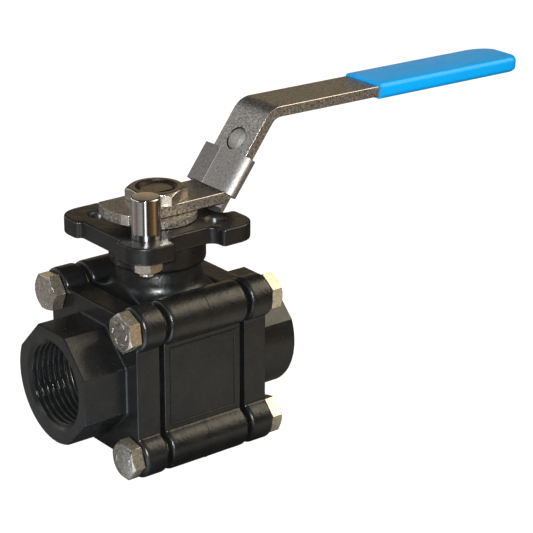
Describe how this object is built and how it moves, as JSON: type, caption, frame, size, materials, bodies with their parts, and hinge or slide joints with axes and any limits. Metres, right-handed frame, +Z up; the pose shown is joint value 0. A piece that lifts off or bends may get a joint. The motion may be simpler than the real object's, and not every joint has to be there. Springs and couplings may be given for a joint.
{
  "type": "ball valve",
  "caption": "Three-piece ball valve with threaded ports, a square actuator pad, and a bent flat lever with a dipped grip and a sliding lock sleeve.",
  "frame": {"origin": "on the stem axis, on the flat underside of the centre body", "axes": "+X along the flow bore, the way the lever points when the valve is open; +Y from the front face to the rear; +Z up the stem"},
  "size_m": [0.2192, 0.0654, 0.1214],
  "materials": {
    "black_coated_steel": "satin black coating over cast and machined steel",
    "bright_stainless": "machined stainless, slightly warm",
    "brushed_stainless": "tumbled stainless sheet with a fine grain",
    "polished_steel": "polished",
    "white_ptfe": "waxy",
    "blue_vinyl": "dip-moulded, glossy"
  },
  "bodies": {
    "valve_body": {"center_body": "black_coated_steel", "end_cap_left": "black_coated_steel", "end_cap_right": "black_coated_steel", "seat_ring_left": "white_ptfe", "seat_ring_right": "white_ptfe", "body_seal_left": "white_ptfe", "body_seal_right": "white_ptfe", "body_bolt_left_front_bottom": "bright_stainless", "body_bolt_left_front_top": "bright_stainless", "body_bolt_left_rear_bottom": "bright_stainless", "body_bolt_left_rear_top": "bright_stainless", "body_bolt_right_front_bottom": "bright_stainless", "body_bolt_right_front_top": "bright_stainless", "body_bolt_right_rear_bottom": "bright_stainless", "body_bolt_right_rear_top": "bright_stainless", "stop_pin": "polished_steel", "stop_pin_nut": "bright_stainless", "stem_thrust_washer": "white_ptfe", "stem_packing": "white_ptfe", "gland_ring": "bright_stainless"},
    "lever_group": {"gland_disc_springs": "bright_stainless", "gland_nut": "bright_stainless", "lever_under_plate": "brushed_stainless", "stem_nut": "bright_stainless", "stem": "bright_stainless", "ball": "polished_steel", "lever": "brushed_stainless", "grip_sleeve": "blue_vinyl"},
    "lock_group": {"lock_sleeve": "brushed_stainless"}
  },
  "joints": [
    {"name": "lever_turn", "type": "hinge", "parent": "valve_body", "child": "lever_group", "pos_m": [0, 0, 0.0275], "axis": [0, 0, 1], "range_deg": [-90, 0]},
    {"name": "lock_slide", "type": "slide", "parent": "lever_group", "child": "lock_group", "axis": [0.6018, 0, 0.7986], "range_m": [0, 0.005]}
  ]
}
